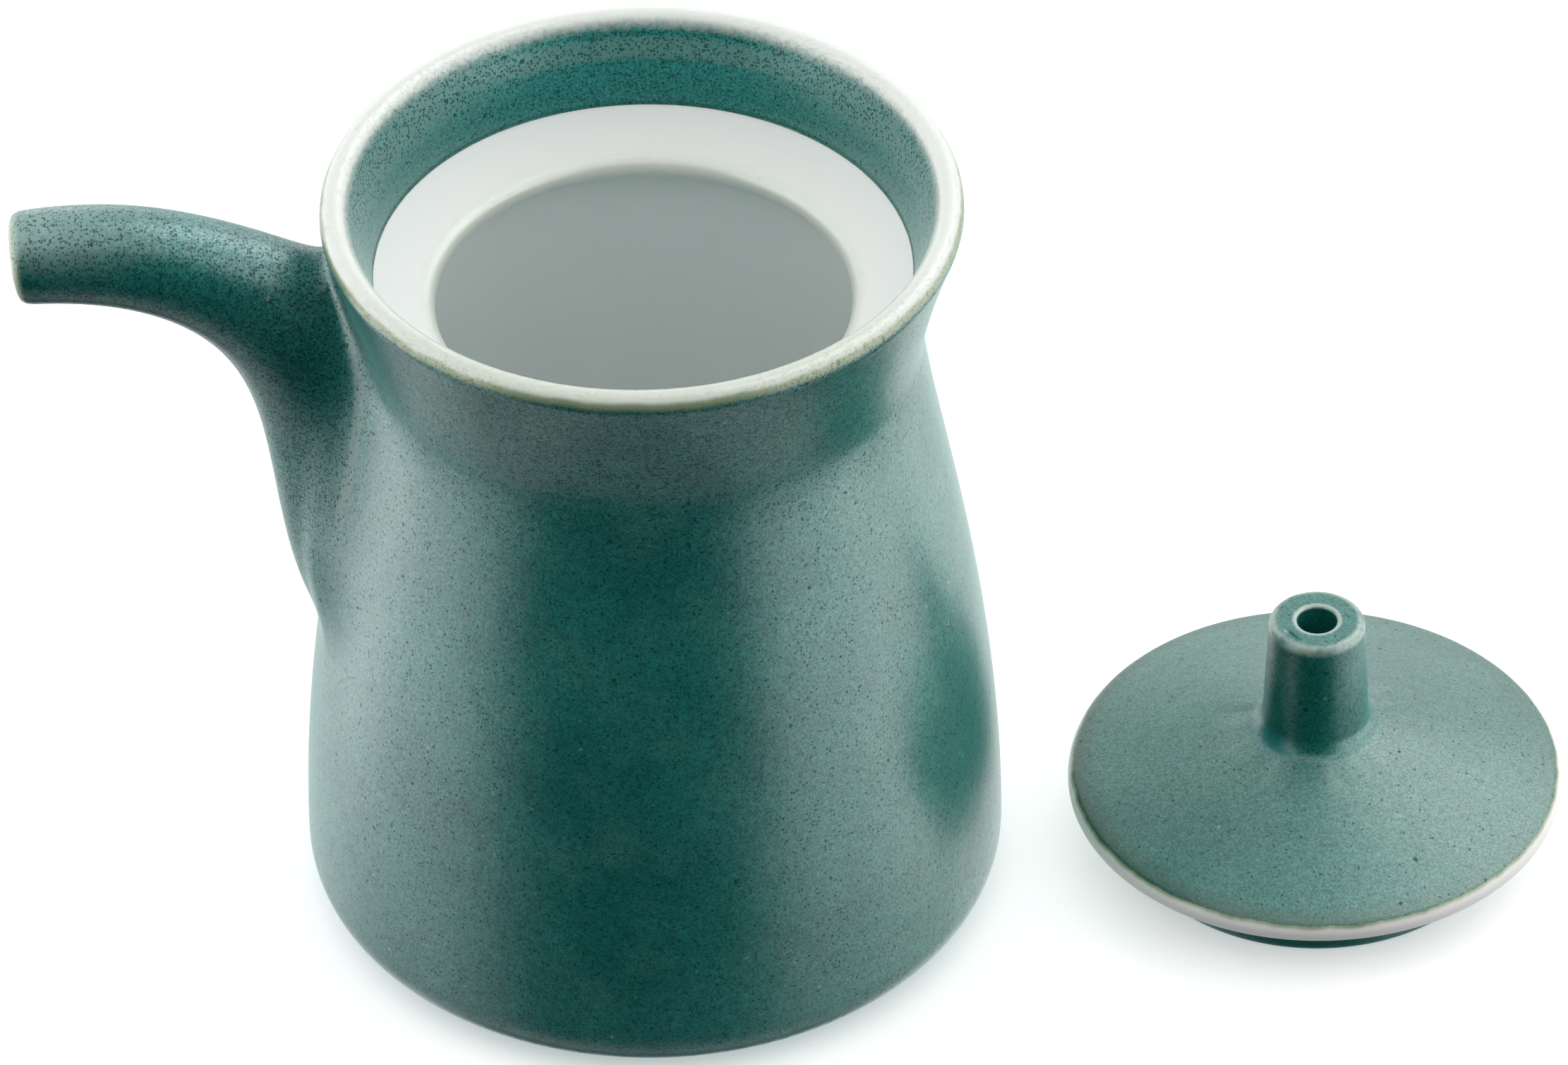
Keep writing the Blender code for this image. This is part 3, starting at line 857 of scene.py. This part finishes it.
def bottle_teal(glaze):
    """The bottle's teal, with more specks and grain near the neck, inside the rim and on the spout, and a
    painted highlight along the valley at the spout's root.
    """
    from_lip = glaze.attribute("from_lip")
    on_spout = glaze.attribute("spout_share")
    inside = glaze.maths("LESS_THAN", from_lip, 0.0)
    near_neck = glaze.between(from_lip, *NECK_SPECKS)
    outside_share = glaze.add(glaze.add(0.10, glaze.times(near_neck, 0.32)), glaze.times(on_spout, 0.45))
    speck_share = glaze.blend(inside, outside_share, glaze.between(from_lip, *WELL_SPECKS, 0.15, 0.65))
    milk = glaze.between(glaze.noise(9.0, 2.0), 0.45, 0.80, 0.0, 0.35)
    blue = glaze.between(glaze.noise(11.0, 1.0), 0.48, 0.72, 0.0, 0.22)
    depth = glaze.between(glaze.noise(14.0, 2.0), 0.35, 0.65)
    colour, grain, spots = teal(glaze, depth, speck_share, milk, blue)
    x, _, z = glaze.coordinates()
    colour = glaze.mix(glaze.between(x, 0.0, 30.0), colour, glaze.vector("MULTIPLY", colour, GREENER))
    swing = glaze.times(glaze.maths("MAXIMUM", on_spout, near_neck), 0.16)
    lowest = glaze.maths("SUBTRACT", 1.0, swing)
    colour = glaze.shaded(colour, glaze.between(grain, 0.30, 0.70, lowest, glaze.add(1.0, swing)))
    # Painted highlight: a pale streak along the valley where the spout meets the body, broken by the specks
    valley_highlight = glaze.times(glaze.band(on_spout, 0.18, 0.06, 0.10), glaze.between(z, 52.0, 66.0))
    colour = glaze.mix(glaze.times(valley_highlight, glaze.between(spots, 0.0, 1.0, 0.45, 0.12)), colour, HIGHLIGHT_TINT)
    return colour, grain, spots


def lip_colour(glaze):
    """The pale lip, whiter away from the front."""
    _, y, _ = glaze.coordinates()
    return glaze.mix(glaze.between(y, -30.0, -8.0), PALE_LIP, WHITE_LIP)


def outer_colour(glaze, colour, spots):
    """The outside: a painted highlight on top of the spout's tip, and pale bands where the glaze thins at
    lip and tip.
    """
    from_tip = glaze.attribute("from_tip")
    on_spout = glaze.attribute("spout_share")
    _, _, z = glaze.coordinates()
    # Painted highlight along the top of the spout near its tip
    tip_highlight = glaze.times(glaze.between(from_tip, 18.0, 2.0), glaze.between(z, 90.3, 94.3))
    tip_highlight = glaze.times(tip_highlight, glaze.times(on_spout, glaze.between(spots, 0.0, 1.0, 0.62, 0.15)))
    colour = glaze.mix(tip_highlight, colour, HIGHLIGHT_TINT)
    from_crest = glaze.add(glaze.attribute("from_lip"), glaze.wander(4.0, 0.25))
    colour = glaze.mix(glaze.between(from_crest, *OLIVE_BAND), colour, OLIVE)
    colour = glaze.mix(glaze.between(from_crest, *PALE_BAND_OUTSIDE), colour, lip_colour(glaze))
    at_tip = glaze.times(glaze.between(from_tip, 1.3, 0.2), glaze.between(on_spout, 0.4, 0.8))
    return glaze.mix(at_tip, colour, PALE_TIP)


def well_colour(glaze, colour, grain, spots, seat):
    """The well inside the rim: a lit teal and painted highlights at its sides and top, pale at the lip, and
    painted shade along the seat.
    """
    from_lip = glaze.attribute("from_lip")
    x, _, _ = glaze.coordinates()
    dotted = glaze.between(spots, 0.0, 1.0, 1.0, 0.15)
    # Painted light: a lighter, lit copy of the teal over the well
    lit = glaze.shaded(LIT_WELL_TEAL, glaze.between(grain, *GRAIN_RANGE, 0.45, 1.55))
    colour = glaze.mix(glaze.times(dotted, 0.9), colour, lit)
    # Painted highlights: a pale sheen on the well's sides and in a band near its top
    side = glaze.between(glaze.maths("ABSOLUTE", x), 10.0, 27.0, 0.0, 0.55)
    side = glaze.times(side, glaze.between(from_lip, -8.5, -5.0, 0.45, 1.0))
    upper = glaze.times(glaze.band(from_lip, -4.6, 0.7, 1.2), 0.40)
    pale_veil_and_highlight = glaze.maths("MAXIMUM", upper, side)
    colour = glaze.mix(glaze.times(pale_veil_and_highlight, dotted), colour, HIGHLIGHT_TINT)
    ragged = glaze.add(from_lip, glaze.wander(0.8, 0.3))
    colour = glaze.mix(glaze.between(ragged, *PALE_BAND_INSIDE), colour, lip_colour(glaze))
    # Painted shade: a dark line in the crease where the well meets the seat
    seat_crease_shade = glaze.band(from_lip, seat + 0.25, 0.15, 0.3)
    return glaze.mix(glaze.times(seat_crease_shade, 0.5), colour, DARK_GREEN)


def bottle_glaze(places):
    """The teal outside and in the well, the bare seat, the clear glaze in the hollow and the bare base."""
    glaze = Glaze("bottle_glaze")
    from_lip = glaze.attribute("from_lip")
    inside = glaze.maths("LESS_THAN", from_lip, 0.0)
    colour, grain, spots = bottle_teal(glaze)
    well = well_colour(glaze, colour, grain, spots, places["seat"])
    colour = glaze.mix(inside, outer_colour(glaze, colour, spots), well)
    seat = glaze.between(from_lip, places["seat"] + 0.05, places["seat"] - 0.05)
    colour = glaze.mix(seat, colour, BISQUE)
    to_nose = glaze.add(from_lip, glaze.wander(3.0, 0.3))
    nose = glaze.between(to_nose, places["nose"] + 1.3, places["nose"] - 0.4)
    colour = glaze.mix(nose, colour, NOSE_GLAZE)
    hollow = glaze.between(from_lip, places["nose"] - 0.8, places["nose"] - 3.0)
    hollow = glaze.maths("MAXIMUM", hollow, glaze.attribute("in_bore"))
    colour = glaze.mix(hollow, colour, CLEAR_GLAZE)
    under = glaze.between(from_lip, places["base"] - 0.1, places["base"] + 0.1)
    colour = glaze.mix(under, colour, BASE_CLAY)
    bare = glaze.maths("MAXIMUM", glaze.times(seat, glaze.between(nose, 1.0, 0.0)), under)
    roughness = glaze.blend(bare, glaze.add(0.26, glaze.times(grain, 0.10)), 0.65)
    height = glaze.times(glaze_relief(glaze, grain), glaze.between(seat, 1.0, 0.2))
    return glaze.finish(colour, roughness, height, shine_of(glaze, grain, spots))


def lid_teal(glaze, out, on_cone, near_foot):
    """The lid's teal, with painted shade towards one side and milky streaks that run out from the knob's
    foot.
    """
    streaks = glaze.noise(0.45, 2.0, place=out)
    milk = glaze.between(glaze.noise(8.0, 2.0), 0.35, 0.75, 0.10, 0.40)
    milk = glaze.add(milk, glaze.times(near_foot, glaze.between(streaks, 0.38, 0.62, -0.25, 0.5)))
    milk = glaze.maths("MAXIMUM", glaze.times(milk, on_cone), 0.0)
    blue = glaze.between(glaze.noise(10.0, 1.0), 0.50, 0.75, 0.0, 0.08)
    depth = glaze.between(glaze.noise(12.0, 2.0), 0.35, 0.65, 0.1, 0.5)
    colour, grain, spots = teal(glaze, depth, glaze.blend(on_cone, 0.08, 0.03), milk, blue)
    # Painted shade: the cone darkened towards one side
    painted_shade = glaze.between(glaze.towards(out, SHADED_SIDE), -0.5, 0.7, 0.12, 0.34)
    kept = glaze.maths("SUBTRACT", 1.0, glaze.times(on_cone, painted_shade))
    colour = glaze.vector("MULTIPLY", glaze.shaded(colour, kept), GREENER)
    pale_veil_and_highlight = glaze.times(near_foot, glaze.between(streaks, 0.48, 0.70, 0.0, 0.25))
    colour = glaze.mix(glaze.times(pale_veil_and_highlight, on_cone), colour, PALE_EDGE)
    return colour, grain, spots


def knob_colour(glaze, colour, along, out, places):
    """The darker teal at one side of the knob's foot, and the pale edges where the knob's corners thin the
    glaze.
    """
    darker_foot = glaze.between(glaze.towards(out, FOOT_DARK_SIDE), 0.75, 0.95)
    darker_foot = glaze.times(darker_foot, glaze.band(along, places["foot"] + 0.3, 0.7, 1.0))
    colour = glaze.mix(glaze.times(darker_foot, 0.95), colour, FOOT_DARK_TEAL)
    broken = glaze.between(glaze.noise(1.8, 2.0), 0.30, 0.62, 0.35, 1.0)
    shoulder = glaze.times(glaze.band(along, places["shoulder"] + 0.1, 0.35, 0.7), broken)
    colour = glaze.mix(glaze.times(shoulder, 0.85), colour, PALE_EDGE)
    return glaze.mix(glaze.band(along, places["hole"] + 0.1, 0.15, 0.35), colour, PALE_EDGE)


def lid_glaze(places):
    """The teal top, the bare bevel, the teal flange and the clear glaze in the hollow underneath."""
    glaze = Glaze("lid_glaze")
    along = glaze.attribute("along")
    out = glaze.vector("SUBTRACT", glaze.place, (*LID_CENTRE, 0.0))
    out = glaze.vector("NORMALIZE", glaze.vector("MULTIPLY", out, (1, 1, 0)))
    on_cone = glaze.between(along, places["foot"] - 0.5, places["foot"] + 2.0)
    near_foot = glaze.band(along, places["foot"] + 1.5, 1.0, 4.5)
    colour, grain, spots = lid_teal(glaze, out, on_cone, near_foot)
    colour = knob_colour(glaze, colour, along, out, places)
    to_edge = glaze.add(glaze.add(along, -places["edge"]), glaze.wander(3.0, 0.2))
    dark_share = glaze.between(glaze.towards(out, DARK_SIDE), -0.6, 0.9, 0.45, 0.95)
    dark_band = glaze.times(glaze.between(to_edge, -3.6, -0.8), dark_share)
    colour = glaze.mix(dark_band, colour, DARK_GREEN)
    colour = glaze.mix(glaze.between(to_edge, -0.50, -0.30), colour, OLIVE)
    colour = glaze.mix(glaze.between(to_edge, -0.30, 0.15), colour, BISQUE)
    glazed_below = glaze.between(along, places["bevel_foot"] - 0.1, places["bevel_foot"] + 0.1)
    colour = glaze.mix(glazed_below, colour, DEEP_TEAL)
    hollow = glaze.between(along, places["flange_foot"], places["flange_foot"] + 1.5)
    colour = glaze.mix(hollow, colour, CLEAR_GLAZE)
    bare = glaze.times(glaze.between(to_edge, -0.2, 0.3), glaze.between(glazed_below, 1.0, 0.0))
    roughness = glaze.blend(bare, glaze.add(0.30, glaze.times(grain, 0.10)), 0.60)
    height = glaze.times(glaze_relief(glaze, grain), glaze.between(bare, 1.0, 0.2))
    return glaze.finish(colour, roughness, height, shine_of(glaze, grain, spots))


# ---------------------------------------------------------------- staging

# The floor's size is in metres, and its gap below the bottle in millimetres
FLOOR_SIZE = 40
FLOOR_GAP = 0.2
FLOOR_COLOUR = (0.96, 0.96, 0.96)
FLOOR_GLOW = 0.35


def floor_material():
    material = bpy.data.materials.new("pale_floor")
    material.use_nodes = True
    shader = material.node_tree.nodes["Principled BSDF"]
    shader.inputs["Base Color"].default_value = (*FLOOR_COLOUR, 1)
    shader.inputs["Roughness"].default_value = 1.0
    shader.inputs["Specular IOR Level"].default_value = 0.0
    shader.inputs["Emission Color"].default_value = (1.0, 1.0, 1.0, 1)
    shader.inputs["Emission Strength"].default_value = FLOOR_GLOW
    return material


def floor():
    bpy.ops.mesh.primitive_plane_add(size=FLOOR_SIZE, location=(0, 0, -FLOOR_GAP * MM))
    ground = bpy.context.object
    ground.name = "floor"
    ground.data.materials.append(floor_material())
    ground.visible_glossy = False
    ground.visible_diffuse = False


def camera():
    data = bpy.data.cameras.new("camera")
    data.sensor_width = CAMERA_SENSOR
    data.lens = CAMERA_LENS
    data.clip_end = CAMERA_CLIP_END
    viewer = bpy.data.objects.new("camera", data)
    back = Vector((
        math.sin(CAMERA_TURN) * math.cos(CAMERA_ELEVATION),
        -math.cos(CAMERA_TURN) * math.cos(CAMERA_ELEVATION),
        math.sin(CAMERA_ELEVATION),
    ))
    viewer.location = (CAMERA_AIM + back * CAMERA_DISTANCE) * MM
    viewer.rotation_mode = "QUATERNION"
    roll = Quaternion((0, 0, 1), CAMERA_ROLL)
    viewer.rotation_quaternion = (-back).to_track_quat("-Z", "Y") @ roll
    bpy.context.scene.collection.objects.link(viewer)
    bpy.context.scene.camera = viewer


# The studio as brightness by direction: a base and then panels, each covering the ones before it.
# A panel has its azimuth from the front towards +X, half width and softness across, lowest and highest
# elevation and softness of those (all degrees), and its brightness.
LIGHTING_BASE = 1.12
LIGHTING_PANELS = (
    (-95, 30, 30, -50, 50, 30, 1.3),
    (85, 30, 30, -50, 50, 30, 1.3),
    (-5, 45, 30, -90, 22, 22, 0.05),
)
MIRRORED_BASE = 2.5
MIRRORED_PANELS = (
    (-165, 20, 20, 20, 30, 10, 1.7),
    (0, 180, 1, -90, -8, 12, 1.0),
    (-150, 22, 15, -60, -20, 14, 1.2),
    (148, 22, 15, -60, -20, 14, 1.5),
    (-150, 45, 20, -90, -68, 8, 0.1),
    (150, 45, 20, -90, -68, 8, 0.1),
    (-100, 15, 46, -21, 60, 22, 4.3),
    (82, 22, 44, -21, 60, 22, 4.5),
    (-110, 6, 10, -29, -5, 6, 5.0),
    (86, 5, 10, -30, -5, 8, 5.0),
    (130, 15, 26, 42, 66, 24, 8.2),
    (-3, 38, 26, -90, -42, 12, 0.6),
    (-7, 30, 25, -48, 42, 16, 0.02),
    (-80, 18, 18, -4, 40, 13, 5.6),
    (72, 18, 18, -4, 40, 13, 5.8),
)


def brightness(tent, azimuth, elevation, base, panels):
    total = base
    for centre, half_width, side_softness, low, high, softness, strength in panels:
        aside = tent.maths("ABSOLUTE", tent.add(azimuth, -centre))
        across = tent.between(aside, half_width + side_softness, half_width)
        above = tent.between(elevation, low - softness, low)
        below = tent.between(elevation, high + softness, high)
        total = tent.blend(tent.times(across, tent.times(above, below)), total, strength)
    return total


def studio():
    """A white tent with a dark front; mirrored light has its own, stronger panels."""
    world = bpy.data.worlds.new("studio")
    world.use_nodes = True
    tent = Nodes(world.node_tree)
    direction = tent.node("ShaderNodeTexCoord").outputs["Generated"]
    x, y, z = tent.node("ShaderNodeSeparateXYZ", {0: direction}).outputs
    azimuth = tent.times(tent.maths("ARCTAN2", x, tent.times(y, -1.0)), 180 / math.pi)
    elevation = tent.times(tent.maths("ARCSINE", z), 180 / math.pi)
    lighting = brightness(tent, azimuth, elevation, LIGHTING_BASE, LIGHTING_PANELS)
    mirrored = brightness(tent, azimuth, elevation, MIRRORED_BASE, MIRRORED_PANELS)
    rays = tent.node("ShaderNodeLightPath").outputs
    strength = tent.blend(rays["Is Glossy Ray"], lighting, mirrored)
    background = world.node_tree.nodes["Background"]
    tent.put(background.inputs["Strength"], tent.blend(rays["Is Camera Ray"], strength, 1.0))
    tent.put(background.inputs["Color"], (1.0, 1.0, 1.0))
    world.cycles.sampling_method = "NONE"
    bpy.context.scene.world = world
    bpy.context.scene.view_settings.view_transform = "Standard"


bottle_piece, bottle_places = bottle_skin()
bottle_piece.data.materials.append(bottle_glaze(bottle_places))
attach(bottle_piece, "bottle")
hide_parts("bottle_body", "spout")
lid_piece, lid_places = lid_skin()
lid_piece.data.materials.append(lid_glaze(lid_places))
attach(lid_piece, "lid")
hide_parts("lid_disc", "lid_knob")
floor()
camera()
studio()
